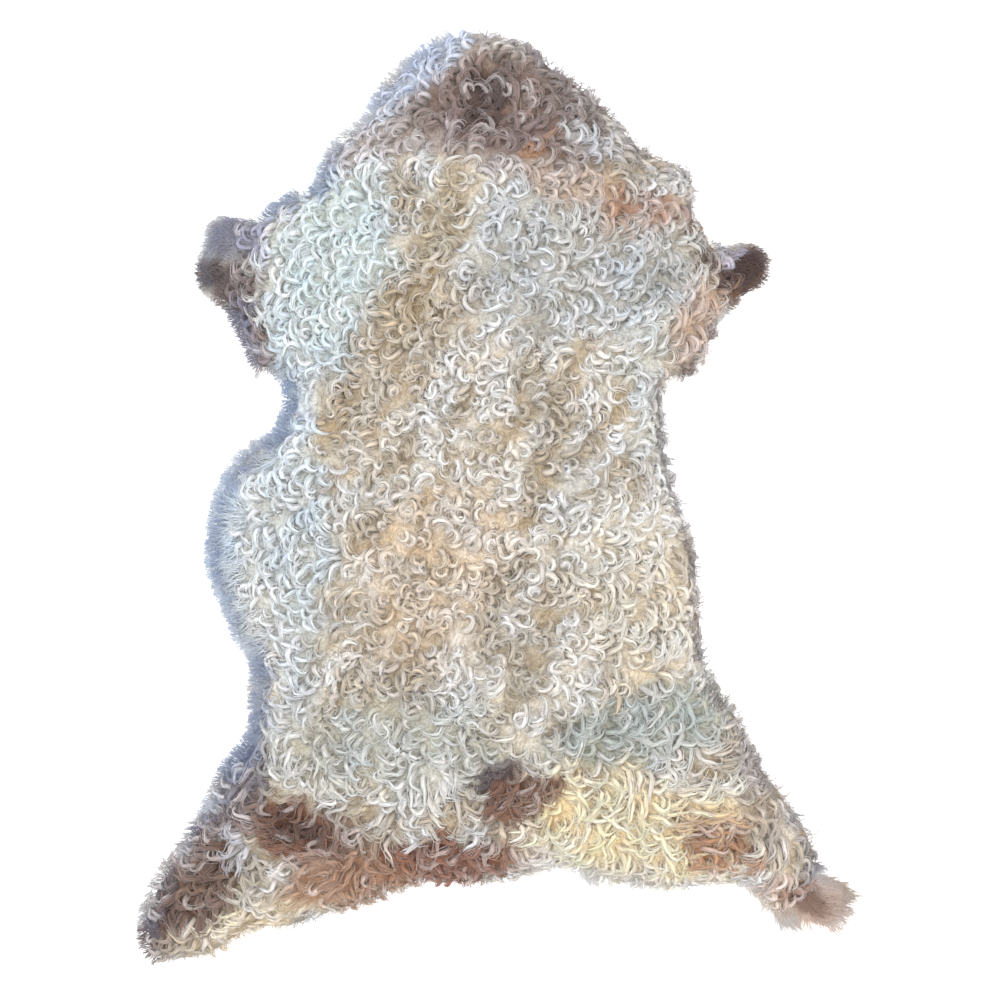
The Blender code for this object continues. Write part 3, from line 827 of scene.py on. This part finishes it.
lock_x, lock_y = planted(LOCK_PITCH, CURLS_FROM, np.random.default_rng(5))
curly = (hair_length(lock_x, lock_y) == 0) & ~straight_haired(lock_x, lock_y)
lock_x, lock_y = lock_x[curly], lock_y[curly]
wool_pieces = [wool_bed]
for band in BANDS:
    chance = np.random.default_rng(band.seed)
    here = (lock_y >= band.lowest * MM) & (lock_y < band.highest * MM)
    locks = locks_at(lock_x[here], lock_y[here], chance)
    middles = strand_paths(locks, band.steps, SPRING)
    bodies = locks._replace(length=locks.length * BODY_LENGTH, turn=locks.turn * BODY_TURN,
                            lift=locks.lift - BODY_SUNK, tip=locks.tip - BODY_SUNK)
    owner, strands = strands_of(locks, LOCK_STRANDS, LOCK_RADIUS, STRAND_STRAY, chance)
    paths = drawn_together(strand_paths(strands, band.steps, SPRING), middles, owner)
    mesh = tube_mesh(band.name, [
        Tubes(strand_paths(bodies, band.steps, SPRING), locks.width, locks.colour * BODY_SHADE,
              sides=3, flatness=0.15, taper=BODY_TAPER),
        Tubes(paths, strands.width, strands.colour, sides=3, flatness=0.8, taper=STRAND_TAPER),
    ], wool_shades)
    wool_pieces.append(woolly_piece(band.name, mesh))
    print(band.name, "locks:", here.sum(), "triangles:", triangles_in(mesh))

# %% [markdown]
# Short hair on the legs, straight fur on the belly's left edge and fine fuzz all round are the
# same kind of tube, only shorter, thinner and nearly straight. The fuzz is what makes the
# outline soft instead of cut out. On the body it lies with the wool, and on the legs, where no
# curl hangs over the hide's edge, it points straight out.

# %% Short hair and straight fur
def plain_strands(x, y, chance, length, width, lift, tip, bend, wave):
    """Separate hairs that lie with the wool, slightly bent."""
    count = len(x)
    heading = lie_of_wool(x, y, chance) + 0.6 * cloud(x, y, 8 * MM, 35) + chance.normal(0, 0.15, count)
    colour = wool_colour(x + SEEN_AT * length * np.cos(heading), y + SEEN_AT * length * np.sin(heading))
    colour = colour * (1 + chance.uniform(-0.1, 0.08, count))[:, None]
    return Strands(
        x=x, y=y, heading=heading,
        turn=chance.normal(0, bend, count), wave=np.full(count, wave),
        waves=chance.uniform(0.8, 1.6, count), phase=chance.random(count),
        length=spread(chance, length, 0.35), width=spread(chance, np.full(count, width), 0.25),
        lift=chance.uniform(*lift, count) * MM, tip=chance.uniform(*tip, count) * MM, colour=colour,
    )


def even_shades(share):
    """The light along a short hair, much the same from root to tip."""
    return np.ones(3) * (0.94 + 0.1 * share)[:, None]


def hair_piece(name, hairs, steps, spring):
    """One piece of separate hairs."""
    paths = strand_paths(hairs, steps, spring)
    tubes = Tubes(paths, hairs.width, hairs.colour, sides=3, flatness=0.8, taper=STRAND_TAPER)
    mesh = tube_mesh(name, [tubes], even_shades)
    print(name, "hairs:", len(paths), "triangles:", triangles_in(mesh))
    return woolly_piece(name, mesh)


HAIR_STEPS = 4
LEG_HAIR_PITCH, SIDE_FUR_PITCH = 1.7 * MM, 2.3 * MM
SIDE_FUR_LENGTH = 22 * MM
chance = np.random.default_rng(6)
hair_x, hair_y = planted(LEG_HAIR_PITCH, 0, chance)
on_leg = hair_length(hair_x, hair_y) > 0
hair_x, hair_y = hair_x[on_leg], hair_y[on_leg]
hairs = plain_strands(hair_x, hair_y, chance, hair_length(hair_x, hair_y), width=0.9 * MM,
                      lift=(-5, 1), tip=(-7, -2), bend=0.3, wave=0.1)
wool_pieces.append(hair_piece("leg_hair", hairs, HAIR_STEPS - 1, 1))
hair_x, hair_y = planted(SIDE_FUR_PITCH, -2 * MM, chance)
on_edge = straight_haired(hair_x, hair_y)
hairs = plain_strands(hair_x[on_edge], hair_y[on_edge], chance,
                      np.full(on_edge.sum(), SIDE_FUR_LENGTH), width=1.1 * MM,
                      lift=(0, 4), tip=(-3, 1), bend=0.3, wave=0.2)
hairs = hairs._replace(length=np.minimum(hairs.length, short_at_rim(hairs.x, hairs.y)))
wool_pieces.append(hair_piece("side_fur", hairs, HAIR_STEPS, 1))

# %% Fuzz round the edge
# Each hair's foot is a random place on the rim, moved out to the wool's edge and tucked back in.
FUZZ = 3700
FUZZ_TUCK = (4, 11)
FUZZ_LEAN = 0.5
chance = np.random.default_rng(7)
steps_round = np.linalg.norm(np.roll(rim, -1, axis=0) - rim, axis=1)
start = np.cumsum(steps_round) - steps_round
at = chance.uniform(0, steps_round.sum(), FUZZ)
index = np.searchsorted(start, at, side="right") - 1
share = ((at - start[index]) / steps_round[index])[:, None]
after = (index + 1) % len(rim)
foot = rim[index] * (1 - share) + rim[after] * share
out = outward[index] * (1 - share) + outward[after] * share
hang = reach[index] * (1 - share[:, 0]) + reach[after] * share[:, 0]
tall = tallness(foot[:, 0], foot[:, 1])
tuck = chance.uniform(*FUZZ_TUCK, FUZZ) * (0.6 + 0.4 * tall) * MM
foot = foot + out * (hang - tuck)[:, None]
fuzz_length = (3 + 0.55 * np.clip(hang / MM, 0, 20) * chance.uniform(0.6, 1.3, FUZZ)) * MM
fuzz = plain_strands(foot[:, 0], foot[:, 1], chance, fuzz_length, width=0.7 * MM,
                     lift=(0, 4), tip=(-2, 3), bend=2.0, wave=0.4)
leaning = np.arctan2(out[:, 1], out[:, 0]) + chance.normal(0, FUZZ_LEAN, FUZZ)
fuzz = fuzz._replace(heading=np.where(tall < 0.5, leaning, fuzz.heading))
wool_pieces.append(hair_piece("edge_fuzz", fuzz, HAIR_STEPS, 1.2))

# %% [markdown]
# Wool is matt with a faint sheen, and light goes round in it, so its colour stays pale even
# where the curls shade each other. The material reads the colour that each mesh carries, the
# wool's own colour with painted shade and highlight, and a fine noise stretched along each
# strand makes it look like many fibres side by side. The bed has no strands, so its noise is
# drawn out into rings round scattered points instead, like small curls seen deep between the
# large ones, with painted shade in its hollows and painted highlights on its rings.

# %% Helpers for materials
def set_inputs(node, **settings):
    """Sets a node's inputs by name, with _ for a space."""
    for name, value in settings.items():
        node.inputs[name.replace("_", " ")].default_value = value


def new_material(name, roughness):
    """A material, its nodes and its shader, nearly without gloss."""
    material = bpy.data.materials.new(name)
    material.use_nodes = True
    shader = material.node_tree.nodes["Principled BSDF"]
    set_inputs(shader, Roughness=roughness, Specular_IOR_Level=0.25)
    return material, material.node_tree, shader


def add_node(tree, kind, **settings):
    """A node with some of its inputs set by name."""
    node = tree.nodes.new(kind)
    set_inputs(node, **settings)
    return node


def textured(tree, kind, place, **settings):
    """A texture or mapping node that starts from a place."""
    node = add_node(tree, kind, **settings)
    tree.links.new(place, node.inputs["Vector"])
    return node


def colour_and_shade_of(tree):
    """The colour that a woolly mesh carries: its own colour with painted shade and highlight."""
    node = tree.nodes.new("ShaderNodeVertexColor")
    node.layer_name = "wool_colour_and_shade"
    return node.outputs["Color"]


def mixed(tree, blend, share, first, second):
    """A Mix node for colours, with its two inputs linked or set."""
    node = tree.nodes.new("ShaderNodeMix")
    node.data_type = "RGBA"
    node.blend_type = blend
    for socket, value in ((node.inputs[0], share), (node.inputs[6], first), (node.inputs[7], second)):
        if isinstance(value, bpy.types.NodeSocket):
            tree.links.new(value, socket)
        else:
            socket.default_value = value
    return node.outputs[2]


def ramp(tree, value, stops):
    """A ramp from a value to a colour, with stops of place and grey or colour."""
    node = tree.nodes.new("ShaderNodeValToRGB")
    while len(node.color_ramp.elements) < len(stops):
        node.color_ramp.elements.new(0.5)
    for element, (place, colour) in zip(node.color_ramp.elements, stops):
        element.position = place
        element.color = (*colour, 1)
    tree.links.new(value, node.inputs["Fac"])
    return node.outputs["Color"]


def bumped(tree, shader, height, strength, distance):
    """Lets a height raise the shader's surface a little."""
    node = add_node(tree, "ShaderNodeBump", Strength=strength, Distance=distance)
    tree.links.new(height, node.inputs["Height"])
    tree.links.new(node.outputs["Normal"], shader.inputs["Normal"])


# %% Wool materials
# How often the fibre noise changes over the whole UV map, along the strands and round them.
FIBRE_NOISE = (90, 1250, 1)
CURL_SIZES = (19 * MM, 12 * MM)
CURL_FIBRES = (1.8 * MM, 1.2 * MM)


def strand_material():
    """Fine fibres that run along each strand, in the strand's own dye."""
    material, tree, shader = new_material("wool strand", 0.5)
    set_inputs(shader, Subsurface_Weight=0.4, Subsurface_Radius=(1.0, 0.85, 0.7),
               Subsurface_Scale=0.8 * MM, Sheen_Weight=0.4, Sheen_Roughness=0.35)
    uv = tree.nodes.new("ShaderNodeUVMap")
    uv.uv_map = "OFBake"
    stretch = textured(tree, "ShaderNodeMapping", uv.outputs["UV"], Scale=FIBRE_NOISE)
    fibre = textured(tree, "ShaderNodeTexNoise", stretch.outputs["Vector"], Scale=1, Detail=2)
    streak = ramp(tree, fibre.outputs["Fac"], ((0.40, (0.73, 0.70, 0.66)), (0.56, (1.05, 1.05, 1.05))))
    colour = mixed(tree, "MULTIPLY", 1.0, colour_and_shade_of(tree), streak)
    tree.links.new(colour, shader.inputs["Base Color"])
    bumped(tree, shader, fibre.outputs["Fac"], 0.5, 0.0008)
    return material


def vector_math(tree, operation, first, second=None):
    """One step of vector arithmetic; the second input is a link or a fixed vector."""
    node = tree.nodes.new("ShaderNodeVectorMath")
    node.operation = operation
    tree.links.new(first, node.inputs[0])
    if isinstance(second, bpy.types.NodeSocket):
        tree.links.new(second, node.inputs[1])
    elif second is not None:
        node.inputs[1].default_value = second
    return node.outputs["Value" if operation == "LENGTH" else "Vector"]


def curled_fibres(tree, place, size, thickness):
    """Noise drawn out into rings round scattered points, like curls of fine fibre seen from above."""
    flat = vector_math(tree, "MULTIPLY", place, (1, 1, 0))
    drift = textured(tree, "ShaderNodeTexNoise", flat, Scale=0.8 / size, Detail=1)
    pushed = vector_math(tree, "MULTIPLY", drift.outputs["Color"], (size, size, 0))
    bent = vector_math(tree, "ADD", flat, pushed)
    tuft = textured(tree, "ShaderNodeTexVoronoi", bent, Scale=1 / size)
    tuft.voronoi_dimensions = "2D"
    arm = vector_math(tree, "SUBTRACT", bent, tuft.outputs["Position"])
    round_it = vector_math(tree, "MULTIPLY", vector_math(tree, "NORMALIZE", arm), (0.9, 0.9, 0))
    out = tree.nodes.new("ShaderNodeCombineXYZ")
    tree.links.new(vector_math(tree, "LENGTH", arm), out.inputs["Z"])
    rings = vector_math(tree, "MULTIPLY", out.outputs["Vector"], (1, 1, 1 / thickness))
    own = vector_math(tree, "MULTIPLY", tuft.outputs["Color"], (40, 40, 40))
    where = vector_math(tree, "ADD", vector_math(tree, "ADD", round_it, rings), own)
    return textured(tree, "ShaderNodeTexNoise", where, Scale=1, Detail=2).outputs["Fac"]


def underwool_material():
    """Matted underwool: soft clumps and curled fine fibres, with painted shade in the hollows between
    them and painted highlights on the fibres.
    """
    material, tree, shader = new_material("underwool", 0.8)
    set_inputs(shader, Sheen_Weight=0.3)
    place = tree.nodes.new("ShaderNodeTexCoord").outputs["Object"]
    clump = textured(tree, "ShaderNodeTexNoise", place, Scale=150, Detail=4, Distortion=1.2)
    wide = curled_fibres(tree, place, CURL_SIZES[0], CURL_FIBRES[0])
    small = curled_fibres(tree, place, CURL_SIZES[1], CURL_FIBRES[1])
    # Painted shade: the hollows between clumps are darkened.
    hollow = ramp(tree, clump.outputs["Fac"], ((0.34, (0.70, 0.65, 0.58)), (0.60, (1, 1, 1))))
    fibres = mixed(tree, "MIX", 0.5, wide, small)
    # The fibre rings' dark gaps are painted shade, and their brightest crests, above 1, a painted
    # highlight.
    streak = ramp(tree, fibres, ((0.38, (0.66, 0.62, 0.56)), (0.52, (0.94, 0.93, 0.91)),
                                 (0.66, (1.15, 1.15, 1.15))))
    colour = mixed(tree, "MULTIPLY", 0.75, colour_and_shade_of(tree), hollow)
    colour = mixed(tree, "MULTIPLY", 1.0, colour, streak)
    tree.links.new(colour, shader.inputs["Base Color"])
    height = mixed(tree, "MIX", 0.5, clump.outputs["Color"], fibres)
    bumped(tree, shader, height, 0.8, 0.004)
    return material


strand_wool, underwool = strand_material(), underwool_material()
wool_bed.data.materials.append(underwool)
for piece in wool_pieces[1:]:
    piece.data.materials.append(strand_wool)
print("wool materials on", len(wool_pieces), "pieces")

# %% [markdown]
# The hide shows only from below and as a thin edge at the right shoulder. Tanned skin is a warm
# suede: matt and slightly mottled, with a fine nap and pores. Its solid already has the true
# shape, so it keeps its mesh and only gets a better material.

# %% Suede for the hide
def suede_material():
    """Warm mottled suede with a fine nap and pores."""
    material, tree, shader = new_material("tanned suede", 0.82)
    set_inputs(shader, Sheen_Weight=0.2)
    place = tree.nodes.new("ShaderNodeTexCoord").outputs["Object"]
    mottle = textured(tree, "ShaderNodeTexNoise", place, Scale=14, Detail=6, Distortion=0.6)
    nap = textured(tree, "ShaderNodeTexNoise", place, Scale=900, Detail=3)
    pores = textured(tree, "ShaderNodeTexVoronoi", place, Scale=700)
    tan = ramp(tree, mottle.outputs["Fac"],
               ((0.3, linear("#a8713f")), (0.55, linear("#c08a55")), (0.75, linear("#d3a674"))))
    speck = ramp(tree, nap.outputs["Fac"], ((0.35, (0.8, 0.78, 0.75)), (0.65, (1, 1, 1))))
    colour = mixed(tree, "MULTIPLY", 0.7, tan, speck)
    tree.links.new(colour, shader.inputs["Base Color"])
    height = mixed(tree, "MIX", 0.5, nap.outputs["Color"], pores.outputs["Distance"])
    bumped(tree, shader, height, 0.4, 0.0005)
    return material


hide.data.materials.clear()
hide.data.materials.append(suede_material())

# %% [markdown]
# The floor is a plain pale sheet, far larger than the skin. Light comes as in a room by day:
# a broad cool window on the left, a warmer lamp on the right and soft light from above.

# %% Floor and light
FLOOR_SIZE = 12.0
bpy.ops.mesh.primitive_plane_add(size=FLOOR_SIZE, location=(0, 0, 0))
floor = bpy.context.object
floor.name = "floor"
paper, _, paper_shader = new_material("pale floor", 0.9)
set_inputs(paper_shader, Base_Color=(0.93, 0.93, 0.94, 1), Emission_Color=(1, 1, 1, 1),
           Emission_Strength=0.35)
floor.data.materials.append(paper)


def soft_light(name, place, size, power, colour):
    """A square lamp that looks at the middle of the skin."""
    lamp = bpy.data.lights.new(name, "AREA")
    lamp.size = size
    lamp.energy = power
    lamp.color = colour
    holder = bpy.data.objects.new(name, lamp)
    holder.location = place
    holder.rotation_euler = (-Vector(place)).to_track_quat("-Z", "Y").to_euler()
    bpy.context.scene.collection.objects.link(holder)


soft_light("window", (-2.0, 0.9, 1.9), 2.2, 39, (0.84, 0.93, 1.0))
soft_light("lamp", (1.9, -0.9, 1.7), 2.0, 24, (1.0, 0.93, 0.86))
soft_light("ceiling", (0.1, 0.2, 2.6), 2.4, 45, (1.0, 0.99, 0.99))
world = bpy.data.worlds.new("room")
world.use_nodes = True
set_inputs(world.node_tree.nodes["Background"], Color=(0.98, 0.98, 1.0, 1), Strength=0.78)
bpy.context.scene.world = world
bpy.context.scene.view_settings.view_transform = "Standard"

# %% [markdown]
# No side of the wool shows in the photograph, so its camera looked straight down. The lens and
# the picture's width, at a millimetre for each pixel, give its height over the wool.

# %% The camera, straight above
PICTURE_WIDTH = 994
VIEW_WIDTH = PICTURE_WIDTH * MM
LENS, SENSOR = 60, 36
MIDDLE_OF_VIEW, MIDDLE_OF_WOOL = 1.2 * MM, 12 * MM
camera_data = bpy.data.cameras.new("camera")
camera_data.lens = LENS
camera_data.sensor_width = SENSOR
camera = bpy.data.objects.new("camera", camera_data)
camera.location = (MIDDLE_OF_VIEW, 0, MIDDLE_OF_WOOL + VIEW_WIDTH * LENS / SENSOR)
bpy.context.scene.collection.objects.link(camera)
bpy.context.scene.camera = camera
print("camera height:", round(camera.location.z, 3), "m")
